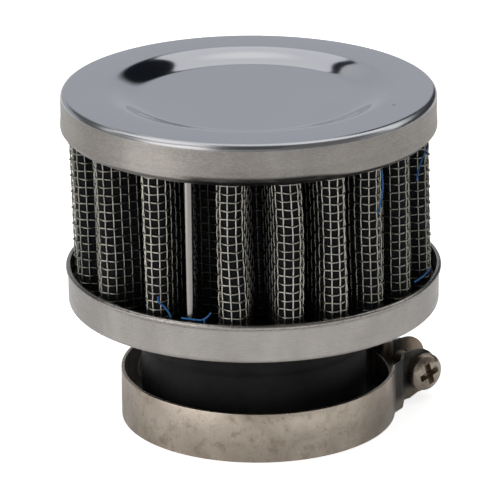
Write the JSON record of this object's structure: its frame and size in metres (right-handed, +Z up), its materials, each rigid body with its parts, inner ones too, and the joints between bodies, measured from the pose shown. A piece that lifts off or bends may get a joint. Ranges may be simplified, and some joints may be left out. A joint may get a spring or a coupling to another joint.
{
  "type": "pod air filter",
  "caption": "Round pod air filter: a pleated wire-screened element between a pressed cap and a shallow pan, on a rubber neck with a loose screw clamp.",
  "frame": {"origin": "on the surface that the filter stands on, on the axis of its neck and pan", "axes": "+Z up along the neck; the side that the picture shows faces -Y, and the clamp's ears point to +X and a little +Y"},
  "size_m": [0.0722, 0.071, 0.0646],
  "materials": {
    "polished_stainless": "polished stainless sheet with a brushed skirt",
    "brushed_stainless": "satin stainless sheet, a little smudged",
    "screen_wire": "dull woven steel wire",
    "gauze": "oiled black cotton gauze",
    "resin": "cast black resin",
    "rubber": "moulded black rubber, matt",
    "clamp_stainless": "stained stainless strip and fasteners"
  },
  "bodies": {
    "root": {"top_cap": "polished_stainless", "cap_resin_ring": "resin", "outer_screen": "screen_wire", "filter_gauze": "gauze", "inner_screen": "screen_wire", "seam_clip": "brushed_stainless", "base_resin_ring": "resin", "base_pan": "brushed_stainless", "rubber_neck": "rubber", "clamp_band": "clamp_stainless", "clamp_tongue": "clamp_stainless", "clamp_screw": "clamp_stainless", "clamp_nut": "clamp_stainless"}
  },
  "joints": []
}
